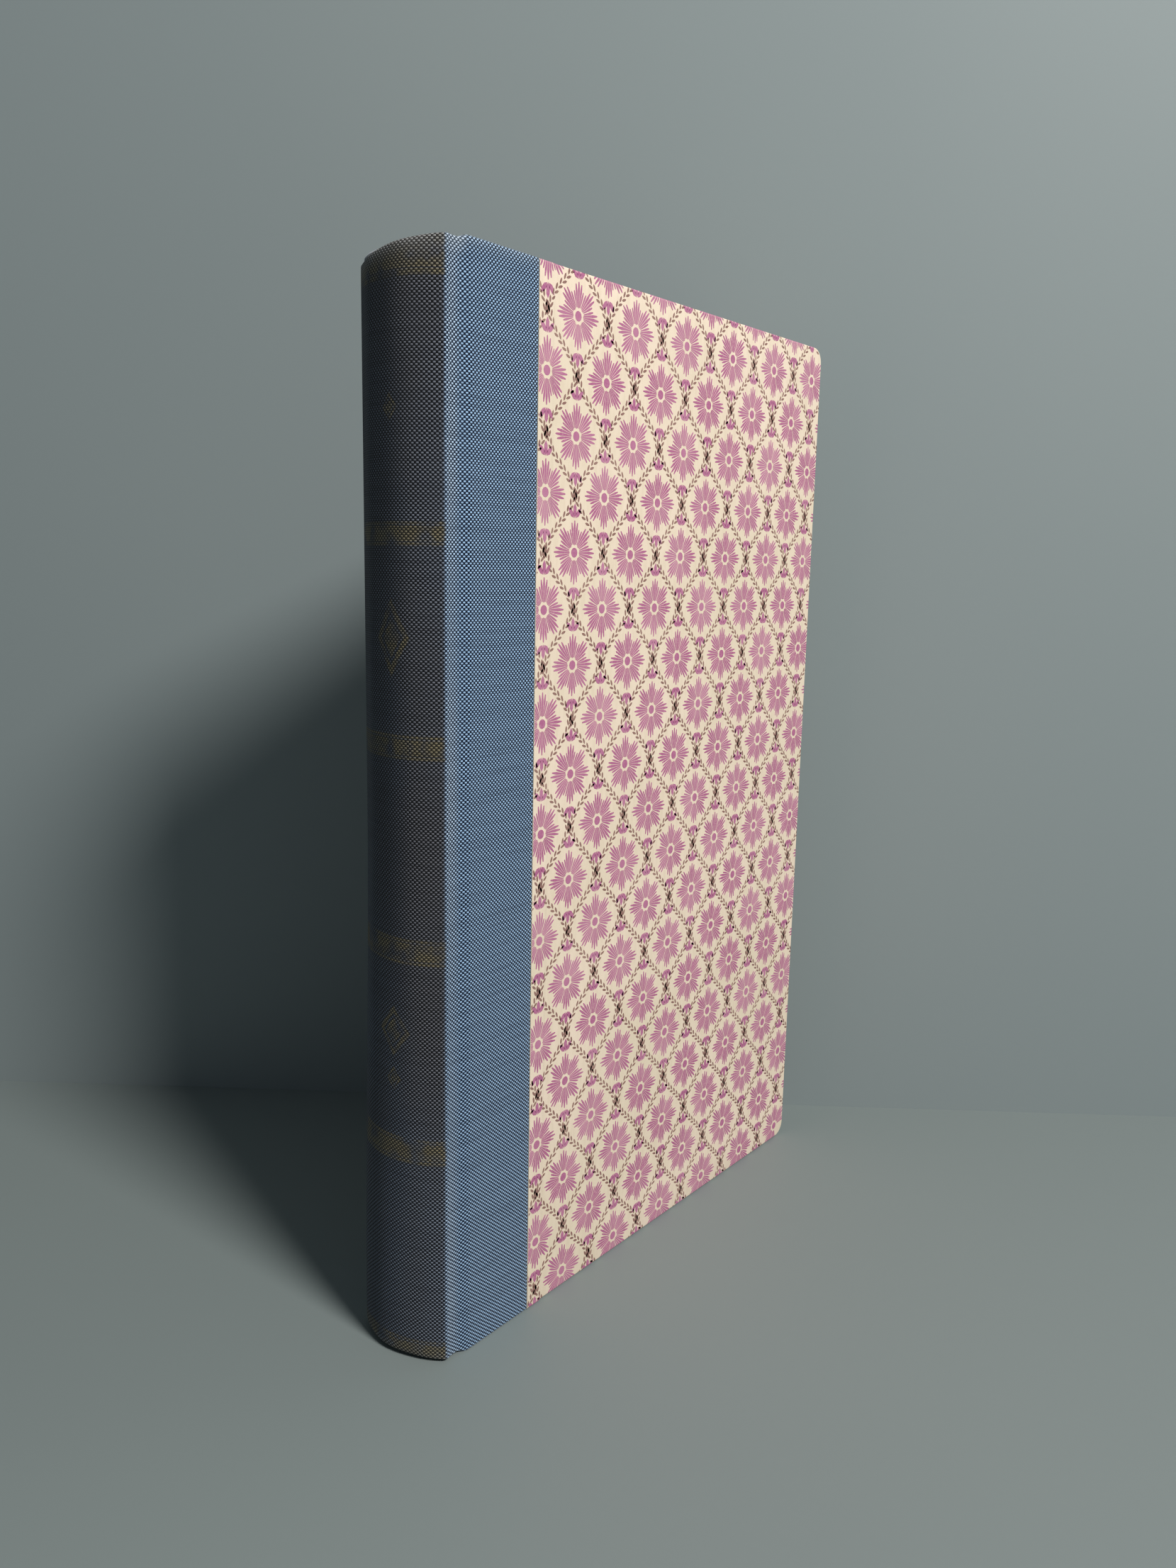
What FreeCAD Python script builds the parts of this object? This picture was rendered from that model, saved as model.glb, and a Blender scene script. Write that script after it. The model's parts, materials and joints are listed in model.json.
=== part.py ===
import FreeCAD, Part
import Sketcher
import math
import os

# A hardback book in a quarter-cloth case, standing on its tail.
# +X runs from the spine to the fore edge, the front cover faces -Y and +Z runs to the head.
# The origin lies under the middle of the closed book, on the surface it stands on.

doc = FreeCAD.newDocument("HardbackBook")

# Driving sizes in millimetres, and one angle in degrees.
sizes = {
    # the case
    "bookHeight": 229.0,        # over the turned-in cloth, tail to head
    "boardWidth": 137.0,        # of one board, spine edge to fore edge
    "boardThickness": 2.3,
    "boardCorner": 3.6,         # rounding of the two corners at the fore edge
    "clothThickness": 0.35,
    "paperThickness": 0.2,      # decorated paper on the sides
    "clothShow": 19.55,         # cloth seen on a board, its spine edge to the paper
    "paperLap": 4.0,            # paper pasted down over the edge of the cloth
    "turnIn": 15.0,             # cloth and paper folded to the inside
    "edgeRound": 0.4,           # rounding of the folded cloth at head and tail
    # the joint between a board and the spine
    "jointWidth": 2.7,          # hinge line to the spine edge of the board
    "jointGap": 0.15,           # clear of the hinge line on each side of it
    "grooveFoot": 0.5,          # inside radius at the foot of the groove
    "boardShoulder": 1.0,       # outside radius of the cloth over the board's spine edge
    "ridgeDepth": 0.9,          # from the cover's face down to the ridge of the spine
    "ridgeRadius": 1.1,
    # the rounded spine
    "backSwell": 7.9,           # from the hinge line out to the top of the round
    "backRadius": 18.1,
    "cardThickness": 0.6,       # stiffening strip inside the cloth
    "hollowGap": 0.05,          # between the case and the lined back of the pages
    "liningThickness": 0.3,
    "liningInset": 10.0,        # from the head and tail of the pages
    "mullThickness": 0.2,
    "mullInset": 12.0,
    "mullFlange": 25.0,         # mull pasted to the inside of a board
    # the pages
    "blockThickness": 18.5,
    "headSquare": 3.6,          # board standing past the pages at head and tail
    "foreSquare": 3.5,          # board standing past the pages at the fore edge
    "foreHollow": 3.0,          # depth of the hollow fore edge
    "shoulderRise": 1.1,        # backed shoulder above the face of the pages
    "shoulderRun": 0.9,         # and its length along the face
    "leafThickness": 0.15,      # one leaf of an endpaper
    "coverGap": 0.25,           # between a closed cover and the pages
    "pasteMargin": 3.0,         # turn-in left bare round the pasted-down leaf
    # the bands at head and tail of the pages
    "beadRadius": 0.8,
    "bandTape": 9.0,            # tape of the band, down the back of the pages
    "tapeThickness": 0.35,
    "bandAngle": 34.0,          # each way from the middle of the back
}

# Places worked out from the sizes. A name ending in X, Y or Z is a coordinate of the closed book,
# and Y counts outwards from the middle of the book, so it serves both covers.
places = {
    "pasteY": "Sizes.blockThickness / 2 + Sizes.leafThickness + Sizes.coverGap",
    "turnY": "pasteY + Sizes.leafThickness",
    "innerY": "turnY + Sizes.clothThickness",
    "outerY": "innerY + Sizes.boardThickness",
    "faceY": "outerY + Sizes.clothThickness",
    "valleyY": "innerY + Sizes.clothThickness",
    "blockY": "Sizes.blockThickness / 2",
    "leafY": "blockY + Sizes.leafThickness",
    "bookWidth": "Sizes.backSwell + Sizes.jointWidth + Sizes.boardWidth + Sizes.paperThickness",
    "hingeX": "Sizes.backSwell - bookWidth / 2",
    "boardX": "hingeX + Sizes.jointWidth",
    "foreX": "boardX + Sizes.boardWidth",
    "paperX": "boardX + Sizes.clothShow",
    "boardZ": "Sizes.clothThickness",
    "boardTopZ": "Sizes.bookHeight - Sizes.clothThickness",
    "cornerX": "foreX - Sizes.boardCorner",
    "cornerZ": "boardZ + Sizes.boardCorner",
    "cornerTopZ": "boardTopZ - Sizes.boardCorner",
    # the side paper folded over the board
    "paperForeX": "foreX + Sizes.paperThickness",
    "paperZ": "boardZ - Sizes.paperThickness",
    "paperTopZ": "boardTopZ + Sizes.paperThickness",
    "paperCorner": "Sizes.boardCorner + Sizes.paperThickness",
    "paperInnerY": "innerY - Sizes.paperThickness",
    "paperDepth": "Sizes.boardThickness + 2 * Sizes.paperThickness",
    "lapThickness": "Sizes.clothThickness - Sizes.paperThickness",
    "lapInnerY": "innerY - lapThickness",
    "lapOuterY": "outerY + lapThickness",
    "lapZ": "boardZ - lapThickness",
    "lapTopZ": "boardTopZ + lapThickness",
    "turnZ": "Sizes.turnIn",
    "turnTopZ": "Sizes.bookHeight - Sizes.turnIn",
    "turnX": "foreX - Sizes.turnIn",
    "roundZ": "Sizes.edgeRound",
    "roundTopZ": "Sizes.bookHeight - Sizes.edgeRound",
    "roundFaceY": "faceY - Sizes.edgeRound",
    "roundTurnY": "turnY + Sizes.edgeRound",
    # the cloth where it dips between board and spine
    "coverFootX": "hingeX + Sizes.jointGap",
    "wallX": "boardX - Sizes.clothThickness",
    "grooveX": "wallX - Sizes.grooveFoot",
    "grooveY": "valleyY + Sizes.grooveFoot",
    "shoulderCurveX": "wallX + Sizes.boardShoulder",
    "shoulderCurveY": "faceY - Sizes.boardShoulder",
    # the round of the spine and the ridge that ends it
    "roundX": "Sizes.backRadius - bookWidth / 2",
    "ridgeReach": "Sizes.backRadius - Sizes.ridgeRadius",
    "ridgeY": "faceY - Sizes.ridgeDepth - Sizes.ridgeRadius",
    "ridgeX": "roundX - sqrt(ridgeReach ^ 2 - ridgeY ^ 2)",
    "roundCos": "(ridgeX - roundX) / ridgeReach",
    "roundSin": "ridgeY / ridgeReach",
    "backAngle": "asin(roundSin) / 1 deg",
    "spineFootX": "hingeX - Sizes.jointGap",
    "rampX": "spineFootX - ridgeX",
    "rampY": "valleyY - ridgeY",
    "rampReach": "sqrt(rampX ^ 2 + rampY ^ 2)",
    "rampRun": "sqrt(rampReach ^ 2 - Sizes.ridgeRadius ^ 2)",
    "slopeX": "(Sizes.ridgeRadius * rampX - rampRun * rampY) / rampReach ^ 2",
    "slopeY": "(Sizes.ridgeRadius * rampY + rampRun * rampX) / rampReach ^ 2",
    # the outer face of the spine cloth, its inner face and the inner face of its turn-in
    "outRidgeX": "ridgeX + Sizes.ridgeRadius * slopeX",
    "outRidgeY": "ridgeY + Sizes.ridgeRadius * slopeY",
    "outRoundX": "roundX + Sizes.backRadius * roundCos",
    "outRoundY": "Sizes.backRadius * roundSin",
    "clothRidge": "Sizes.ridgeRadius - Sizes.clothThickness",
    "clothRound": "Sizes.backRadius - Sizes.clothThickness",
    "inFootX": "spineFootX - Sizes.clothThickness * slopeX",
    "inFootY": "valleyY - Sizes.clothThickness * slopeY",
    "inRidgeX": "ridgeX + clothRidge * slopeX",
    "inRidgeY": "ridgeY + clothRidge * slopeY",
    "inRoundX": "roundX + clothRound * roundCos",
    "inRoundY": "clothRound * roundSin",
    "cardRound": "clothRound - Sizes.cardThickness",
    "turnRound": "cardRound - Sizes.clothThickness",
    "turnRidge": "clothRidge - Sizes.clothThickness",
    "turnFootX": "inFootX - Sizes.clothThickness * slopeX",
    "turnFootY": "inFootY - Sizes.clothThickness * slopeY",
    "turnRidgeX": "ridgeX + turnRidge * slopeX",
    "turnRidgeY": "ridgeY + turnRidge * slopeY",
    "turnRoundX": "roundX + turnRound * roundCos",
    "turnRoundY": "turnRound * roundSin",
    # the pages and what is glued to their back
    "blockZ": "Sizes.headSquare",
    "blockTopZ": "Sizes.bookHeight - Sizes.headSquare",
    "blockHeight": "blockTopZ - blockZ",
    "liningRound": "turnRound - Sizes.hollowGap",
    "mullRound": "liningRound - Sizes.liningThickness",
    "blockRound": "mullRound - Sizes.mullThickness",
    "shoulderY": "blockY + Sizes.shoulderRise",
    "shoulderX": "roundX - sqrt(blockRound ^ 2 - shoulderY ^ 2)",
    "blockX": "shoulderX + Sizes.shoulderRun",
    "blockForeX": "foreX - Sizes.foreSquare",
    "foreRound": "(Sizes.foreHollow ^ 2 + blockY ^ 2) / (2 * Sizes.foreHollow)",
    "liningZ": "blockZ + Sizes.liningInset",
    "liningTopZ": "blockTopZ - Sizes.liningInset",
    "mullZ": "blockZ + Sizes.mullInset",
    "mullTopZ": "blockTopZ - Sizes.mullInset",
    "mullY": "innerY - Sizes.mullThickness",
    "mullEndX": "coverFootX + Sizes.mullFlange",
    "pasteForeX": "foreX - Sizes.pasteMargin",
    "pasteZ": "boardZ + Sizes.pasteMargin",
    "pasteTopZ": "boardTopZ - Sizes.pasteMargin",
    "hollowX": "mullEndX + Sizes.leafThickness",
    "hollowForeX": "turnX - Sizes.leafThickness",
    "hollowZ": "turnZ + Sizes.leafThickness",
    "hollowTopZ": "turnTopZ - Sizes.leafThickness",
    "hollowY": "innerY - Sizes.leafThickness",
    # the head and tail bands
    "tapeRound": "blockRound + Sizes.tapeThickness",
    "beadReach": "tapeRound - Sizes.beadRadius",
    "headBeadZ": "blockTopZ + Sizes.beadRadius",
    "headTapeZ": "blockTopZ - Sizes.bandTape",
    "tailBeadZ": "blockZ - Sizes.beadRadius",
    "tailTapeZ": "blockZ + Sizes.bandTape",
}


def fillSheet(name, cells, mark):
    sheet = doc.addObject("Spreadsheet::Sheet", name)
    for row, (alias, content) in enumerate(cells.items(), start=1):
        sheet.set("A%d" % row, alias)
        sheet.set("B%d" % row, mark + str(content))
        sheet.setAlias("B%d" % row, alias)
    doc.recompute()
    return sheet


sizeSheet = fillSheet("Sizes", sizes, "")
placeSheet = fillSheet("Places", places, "=")


def ref(name):
    # the expression for a named size or place, with a leading minus kept
    bare = name.lstrip("-")
    sheet = "Sizes" if bare in sizes else "Places"
    return "%s%s.%s" % ("-" if name.startswith("-") else "", sheet, bare)


def value(name):
    if name == "zero":
        return 0.0
    bare = name.lstrip("-")
    sheet = sizeSheet if bare in sizes else placeSheet
    number = float(sheet.get(bare))
    return -number if name.startswith("-") else number


def bend(start, end, radius, turn):
    # the arc of this radius from start to end, turning left for +1 and right for -1
    chord = end - start
    side = FreeCAD.Vector(-chord.y, chord.x, 0).normalize() * turn
    rise = math.sqrt(max(radius ** 2 - (chord.Length / 2) ** 2, 0.0))
    centre = (start + end) / 2 + side * rise
    first, last = (start, end) if turn > 0 else (end, start)
    low = math.atan2(first.y - centre.y, first.x - centre.x)
    high = math.atan2(last.y - centre.y, last.x - centre.x)
    if high < low:
        high += 2 * math.pi
    circle = Part.Circle(centre, FreeCAD.Vector(0, 0, 1), radius)
    return Part.ArcOfCircle(circle, low, high)


def newSketch(body, name, role):
    sketch = body.newObject("Sketcher::SketchObject", name)
    plane = [item for item in body.Origin.OriginFeatures if item.Role == role][0]
    sketch.AttachmentSupport = [(plane, "")]
    sketch.MapMode = "FlatFace"
    return sketch


def bind(sketch, rule, name):
    # a constraint whose size is a named one
    number = sketch.addConstraint(rule)
    sketch.setExpression("Constraints[%d]" % number, ref(name))


def outline(body, name, role, corners, bends=None, offset=None):
    # a closed sketch through named corners; bends maps a corner's number to the radius
    # and the turn of the arc that leaves it
    sketch = newSketch(body, name, role)
    if offset:
        sketch.setExpression("AttachmentOffset.Base.z", ref(offset))
    bends = bends or {}
    spots = [FreeCAD.Vector(value(across), value(along), 0) for across, along in corners]
    ends = []
    for index, start in enumerate(spots):
        end = spots[(index + 1) % len(spots)]
        if index in bends:
            radius, turn = bends[index]
            edge = sketch.addGeometry(bend(start, end, value(radius), turn), False)
            ends.append((edge, 1, 2) if turn > 0 else (edge, 2, 1))
        else:
            edge = sketch.addGeometry(Part.LineSegment(start, end), False)
            ends.append((edge, 1, 2))
    for index in range(len(spots)):
        last, this = ends[index - 1], ends[index]
        sketch.addConstraint(Sketcher.Constraint("Coincident", last[0], last[2], this[0], this[1]))
    for index, names in enumerate(corners):
        edge, point = ends[index][:2]
        for kind, axis, name in zip(("DistanceX", "DistanceY"), (-2, -1), names):
            if name == "zero":
                sketch.addConstraint(Sketcher.Constraint("PointOnObject", edge, point, axis))
                continue
            bind(sketch, Sketcher.Constraint(kind, -1, 1, edge, point, value(name)), name)
    for index, (radius, turn) in bends.items():
        bind(sketch, Sketcher.Constraint("Radius", ends[index][0], value(radius)), radius)
    return sketch


def newBody(label):
    body = doc.addObject("PartDesign::Body", label)
    body.Label = label
    return body


def pad(body, name, sketch, length):
    feature = body.newObject("PartDesign::Pad", name)
    feature.Profile = sketch
    feature.setExpression("Length", ref(length))
    return feature


def revolve(body, name, sketch, angle):
    # turned about the body's own upright axis, as far to the front as to the back
    feature = body.newObject("PartDesign::Revolution", name)
    feature.Profile = sketch
    feature.ReferenceAxis = (sketch, ["V_Axis"])
    feature.Midplane = True
    feature.setExpression("Angle", "2 * " + ref(angle))
    return feature


def roundEdges(body, name, base, radius, wanted):
    # fillet on the edges of the last feature for which wanted is true
    doc.recompute()
    chosen = []
    for number, edge in enumerate(base.Shape.Edges, start=1):
        if wanted(edge):
            chosen.append("Edge%d" % number)
    feature = body.newObject("PartDesign::Fillet", name)
    feature.Base = (base, chosen)
    feature.setExpression("Radius", ref(radius))
    return feature


near = 1e-3     # how close two places are to count as one


def level(edge, axis, height):
    # whether an edge lies all in the plane at this height along x, y or z
    box = edge.BoundBox
    low, high = {"x": (box.XMin, box.XMax), "y": (box.YMin, box.YMax), "z": (box.ZMin, box.ZMax)}[axis]
    return abs(low - height) < near and abs(high - height) < near


def block(label, low, high):
    # a box between two named corners
    box = doc.addObject("Part::Box", label)
    box.Label = label
    for side, axis, start, end in zip(("Length", "Width", "Height"), "xyz", low, high):
        box.setExpression(side, "%s - (%s)" % (ref(end), ref(start)))
        box.setExpression("Placement.Base.%s" % axis, ref(start))
    return box


def cut(label, base, tools):
    # one piece less all the others it lies against
    result = doc.addObject("Part::Cut", label)
    result.Label = label
    result.Base = base
    result.Tool = tools[0]
    if len(tools) > 1:
        waste = doc.addObject("Part::MultiFuse", label + "_waste")
        waste.Shapes = tools
        result.Tool = waste
    return result


def mirrored(label, source):
    # the same piece on the other side of the book
    twin = doc.addObject("Part::Mirroring", label)
    twin.Label = label
    twin.Source = source
    twin.Normal = (0, 1, 0)
    return twin


def makeTextBlock():
    # the sewn pages: rounded and backed spine, flat faces and a hollow fore edge
    body = newBody("text_block")
    corners = [
        ("shoulderX", "shoulderY"),
        ("shoulderX", "-shoulderY"),
        ("blockX", "-blockY"),
        ("blockForeX", "-blockY"),
        ("blockForeX", "blockY"),
        ("blockX", "blockY"),
    ]
    bends = {0: ("blockRound", 1), 3: ("foreRound", -1)}
    pad(body, "Pages", outline(body, "PagesOutline", "XY_Plane", corners, bends, "blockZ"), "blockHeight")
    return body


def makeCurvedStrip(label, inner, outer, low, high, angle):
    # a strip that follows the round of the back
    body = newBody(label)
    body.setExpression("Placement.Base.x", ref("roundX"))
    corners = [("-" + outer, low), ("-" + inner, low), ("-" + inner, high), ("-" + outer, high)]
    revolve(body, "Strip", outline(body, "StripOutline", "XZ_Plane", corners), angle)
    return body


def makeBand(label, beadZ, tapeZ, edgeZ):
    # a cord bead on the end of the pages, with its tape glued down their back
    body = makeCurvedStrip(label, "blockRound", "tapeRound", *sorted((tapeZ, edgeZ), key=value), "bandAngle")
    sketch = newSketch(body, "BeadOutline", "XZ_Plane")
    centre = FreeCAD.Vector(-value("beadReach"), value(beadZ), 0)
    circle = Part.Circle(centre, FreeCAD.Vector(0, 0, 1), value("beadRadius"))
    sketch.addGeometry(circle, False)
    bind(sketch, Sketcher.Constraint("Radius", 0, value("beadRadius")), "beadRadius")
    bind(sketch, Sketcher.Constraint("DistanceX", -1, 1, 0, 3, centre.x), "-beadReach")
    bind(sketch, Sketcher.Constraint("DistanceY", -1, 1, 0, 3, centre.y), beadZ)
    revolve(body, "Bead", sketch, "bandAngle")
    return body


def makeSpineCloth():
    # one strip of cloth over the spine: down into each groove, folded in at head and tail
    # round the stiffening card
    body = newBody("spine_cloth_form")
    outer = [
        ("spineFootX", "valleyY"), ("outRidgeX", "outRidgeY"), ("outRoundX", "outRoundY"),
        ("outRoundX", "-outRoundY"), ("outRidgeX", "-outRidgeY"), ("spineFootX", "-valleyY"),
    ]
    inner = [
        ("inFootX", "-inFootY"), ("inRidgeX", "-inRidgeY"), ("inRoundX", "-inRoundY"),
        ("inRoundX", "inRoundY"), ("inRidgeX", "inRidgeY"), ("inFootX", "inFootY"),
    ]
    folded = [
        ("turnFootX", "-turnFootY"), ("turnRidgeX", "-turnRidgeY"), ("turnRoundX", "-turnRoundY"),
        ("turnRoundX", "turnRoundY"), ("turnRidgeX", "turnRidgeY"), ("turnFootX", "turnFootY"),
    ]
    outerBends = {1: ("ridgeRadius", 1), 2: ("backRadius", 1), 3: ("ridgeRadius", 1)}
    layerBends = dict(outerBends)
    layerBends.update({7: ("clothRidge", -1), 8: ("clothRound", -1), 9: ("clothRidge", -1)})
    foldBends = dict(outerBends)
    foldBends[8] = ("turnRound", -1)
    layer = outline(body, "LayerOutline", "XY_Plane", outer + inner, layerBends)
    pad(body, "Layer", layer, "bookHeight")
    tail = outline(body, "TailOutline", "XY_Plane", outer + folded, foldBends)
    pad(body, "TailTurnIn", tail, "turnIn")
    head = outline(body, "HeadOutline", "XY_Plane", outer + folded, foldBends, "turnTopZ")
    folds = pad(body, "HeadTurnIn", head, "turnIn")
    height = value("bookHeight")

    def onFold(edge):
        # the outer edges at head and tail: along the round, the two ridges and the two ramps
        if not (level(edge, "z", 0.0) or level(edge, "z", height)):
            return False
        middle = edge.valueAt((edge.FirstParameter + edge.LastParameter) / 2)
        aside = abs(middle.y)
        reach = math.hypot(middle.x - value("roundX"), aside) - value("backRadius")
        ridge = math.hypot(middle.x - value("ridgeX"), aside - value("ridgeY")) - value("ridgeRadius")
        rampX = (value("spineFootX") + value("outRidgeX")) / 2
        rampY = (value("valleyY") + value("outRidgeY")) / 2
        ramp = math.hypot(middle.x - rampX, aside - rampY)
        return min(abs(reach), abs(ridge), ramp) < near

    roundEdges(body, "FoldedEdges", folds, "edgeRound", onFold)
    return body


def makeBoard():
    body = newBody("front_board")
    corners = [
        ("boardX", "boardZ"), ("cornerX", "boardZ"), ("foreX", "cornerZ"),
        ("foreX", "cornerTopZ"), ("cornerX", "boardTopZ"), ("boardX", "boardTopZ"),
    ]
    bends = {1: ("boardCorner", 1), 3: ("boardCorner", 1)}
    sketch = outline(body, "BoardOutline", "XZ_Plane", corners, bends, "innerY")
    pad(body, "Slab", sketch, "boardThickness")
    return body


def makeCoverCloth(board):
    # cloth from the groove over the spine side of the board, folded in at head and tail,
    # its far edge pressed thin where the paper laps it
    body = newBody("cloth_form")
    corners = [
        ("coverFootX", "-turnY"), ("coverFootX", "-valleyY"), ("grooveX", "-valleyY"),
        ("wallX", "-grooveY"), ("wallX", "-shoulderCurveY"), ("shoulderCurveX", "-faceY"),
        ("paperX", "-faceY"), ("paperX", "-turnY"),
    ]
    bends = {2: ("grooveFoot", -1), 4: ("boardShoulder", 1)}
    wrap = pad(body, "Wrap", outline(body, "WrapOutline", "XY_Plane", corners, bends), "bookHeight")
    ends = (value("coverFootX"), value("paperX"))
    heights = (0.0, value("bookHeight"))

    inside = -value("turnY")

    def onFold(edge):
        # the outer edges only: at the foot of the groove the fold is too thin for two
        if level(edge, "y", inside) or any(level(edge, "x", end) for end in ends):
            return False
        return any(level(edge, "z", height) for height in heights)

    roundEdges(body, "FoldedEdges", wrap, "edgeRound", onFold)
    lapped = [
        ("-lapOuterY", "lapZ"), ("-lapInnerY", "lapZ"), ("-lapInnerY", "lapTopZ"), ("-lapOuterY", "lapTopZ"),
    ]
    pad(body, "Lapped", outline(body, "LappedOutline", "YZ_Plane", lapped, {}, "paperX"), "paperLap")
    inside = block("cloth_inside", ("spineFootX", "-innerY", "turnZ"), ("foreX", "-blockY", "turnTopZ"))
    return cut("front_cover_cloth", body, [board, inside])


def makeSidePaper(board, cloth):
    # decorated paper over the rest of the board, lapped on the cloth and folded in on three sides
    body = newBody("paper_form")
    corners = [
        ("paperX", "paperZ"), ("cornerX", "paperZ"), ("paperForeX", "cornerZ"),
        ("paperForeX", "cornerTopZ"), ("cornerX", "paperTopZ"), ("paperX", "paperTopZ"),
    ]
    bends = {1: ("paperCorner", 1), 3: ("paperCorner", 1)}
    sketch = outline(body, "PaperOutline", "XZ_Plane", corners, bends, "paperInnerY")
    wrap = pad(body, "Wrap", sketch, "paperDepth")
    faces = (-value("paperInnerY"), -value("paperInnerY") - value("paperDepth"))
    start = value("paperX")

    def onFold(edge):
        return any(level(edge, "y", face) for face in faces) and not level(edge, "x", start)

    roundEdges(body, "FoldedEdges", wrap, "edgeRound", onFold)
    lap = [
        ("-faceY", "roundZ"), ("-roundFaceY", "zero"), ("-roundTurnY", "zero"), ("-turnY", "roundZ"),
        ("-turnY", "roundTopZ"), ("-roundTurnY", "bookHeight"), ("-roundFaceY", "bookHeight"),
        ("-faceY", "roundTopZ"),
    ]
    lapBends = dict.fromkeys((0, 2, 4, 6), ("edgeRound", 1))
    pad(body, "Lap", outline(body, "LapOutline", "YZ_Plane", lap, lapBends, "paperX"), "paperLap")
    inside = block("paper_inside", ("spineFootX", "-innerY", "turnZ"), ("turnX", "-blockY", "turnTopZ"))
    return cut("front_side_paper", body, [board, cloth, inside])


def makePastedown(cloth, paper, mull):
    # the leaf pasted inside the cover: over the turn-ins round the edge, down on the board between
    sheet = block("paste_form", ("coverFootX", "-innerY", "pasteZ"), ("pasteForeX", "-pasteY", "pasteTopZ"))
    sunk = block("paste_sunk", ("hollowX", "-hollowY", "hollowZ"), ("hollowForeX", "-blockY", "hollowTopZ"))
    return cut("front_pastedown", sheet, [cloth, paper, mull, sunk])


def makeCover():
    board = makeBoard()
    cloth = makeCoverCloth(board)
    paper = makeSidePaper(board, cloth)
    mull = block("front_mull_flange", ("coverFootX", "-innerY", "mullZ"), ("mullEndX", "-mullY", "mullTopZ"))
    return [board, cloth, paper, makePastedown(cloth, paper, mull), mull]


frontPieces = makeCover()
leaf = block("front_free_endpaper", ("blockX", "-leafY", "blockZ"), ("blockForeX", "-blockY", "blockTopZ"))
frontPieces.append(leaf)
backPieces = [mirrored(piece.Label.replace("front_", "back_"), piece) for piece in frontPieces]
innerPieces = [
    makeTextBlock(),
    makeCurvedStrip("spine_mull", "blockRound", "mullRound", "mullZ", "mullTopZ", "backAngle"),
    makeCurvedStrip("spine_lining", "mullRound", "liningRound", "liningZ", "liningTopZ", "backAngle"),
    makeBand("head_band", "headBeadZ", "headTapeZ", "headBeadZ"),
    makeBand("tail_band", "tailBeadZ", "tailTapeZ", "tailBeadZ"),
]
card = makeCurvedStrip("spine_card", "cardRound", "clothRound", "boardZ", "boardTopZ", "backAngle")
spineCloth = cut("spine_cloth", makeSpineCloth(), [card])
pieces = frontPieces + backPieces + innerPieces + [card, spineCloth]

doc.recompute()
for item in doc.Objects:
    if "Invalid" in item.State or "Error" in item.State:
        raise RuntimeError("%s did not build: %s" % (item.Label, item.State))
os.makedirs("parts", exist_ok=True)
for piece in pieces:
    shape = piece.Shape
    if shape.isNull() or not shape.isValid() or len(shape.Solids) != 1:
        raise RuntimeError("%s is not one sound solid" % piece.Label)
    shape.exportStep("parts/%s.step" % piece.Label)
    print("%-22s %10.1f mm3" % (piece.Label, shape.Volume))
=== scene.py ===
import bpy
import bmesh
import json
import math
import numpy as np
from mathutils import Matrix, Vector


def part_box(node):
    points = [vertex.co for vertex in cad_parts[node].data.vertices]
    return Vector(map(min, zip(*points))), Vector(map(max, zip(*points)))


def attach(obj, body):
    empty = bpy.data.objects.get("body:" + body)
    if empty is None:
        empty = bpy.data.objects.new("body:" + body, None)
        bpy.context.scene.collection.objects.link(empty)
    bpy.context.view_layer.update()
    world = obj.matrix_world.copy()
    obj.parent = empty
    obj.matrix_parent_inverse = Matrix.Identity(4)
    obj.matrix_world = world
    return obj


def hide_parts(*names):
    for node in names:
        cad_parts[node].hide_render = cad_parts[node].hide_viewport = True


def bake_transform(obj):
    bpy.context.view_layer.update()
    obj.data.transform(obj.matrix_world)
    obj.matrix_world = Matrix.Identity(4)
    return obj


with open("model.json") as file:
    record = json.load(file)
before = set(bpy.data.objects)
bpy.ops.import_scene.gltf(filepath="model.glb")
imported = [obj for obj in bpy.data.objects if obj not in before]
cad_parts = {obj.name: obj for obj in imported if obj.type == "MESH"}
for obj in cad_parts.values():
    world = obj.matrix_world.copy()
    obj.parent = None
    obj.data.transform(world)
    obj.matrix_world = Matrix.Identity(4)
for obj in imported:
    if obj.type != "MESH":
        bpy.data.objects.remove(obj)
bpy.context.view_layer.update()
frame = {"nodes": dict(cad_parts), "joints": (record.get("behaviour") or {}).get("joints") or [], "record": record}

# a hardback book in a quarter-cloth case; lengths below are in millimetres and become metres in makeMesh
mm = 0.001
sides = {"front": -1, "back": 1}        # which way a cover faces along Y


def nodeSpan(node):
    low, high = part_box(node)
    return np.array(low) / mm, np.array(high) / mm


boardLow, boardHigh = nodeSpan("back_board")
clothLow, clothHigh = nodeSpan("back_cover_cloth")
spineLow = nodeSpan("spine_cloth")[0]
pagesLow, pagesHigh = nodeSpan("text_block")
pasteLow, pasteHigh = nodeSpan("back_pastedown")
leafLow, leafHigh = nodeSpan("back_free_endpaper")
beadHigh = nodeSpan("head_band")[1]

# places in the closed book; Y counts outwards from its middle, so one number serves both covers
height = clothHigh[2]
boardX, foreX = boardLow[0], boardHigh[0]
innerY, outerY = boardLow[1], boardHigh[1]
turnY, faceY = clothLow[1], clothHigh[1]
lapX = clothHigh[0]
hingeX = frame["joints"][0]["pos_m"][0] / mm


# mesh helpers

crease = 50        # degrees; a sheet's cut edge is sharper and stays crisp in shading


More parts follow.
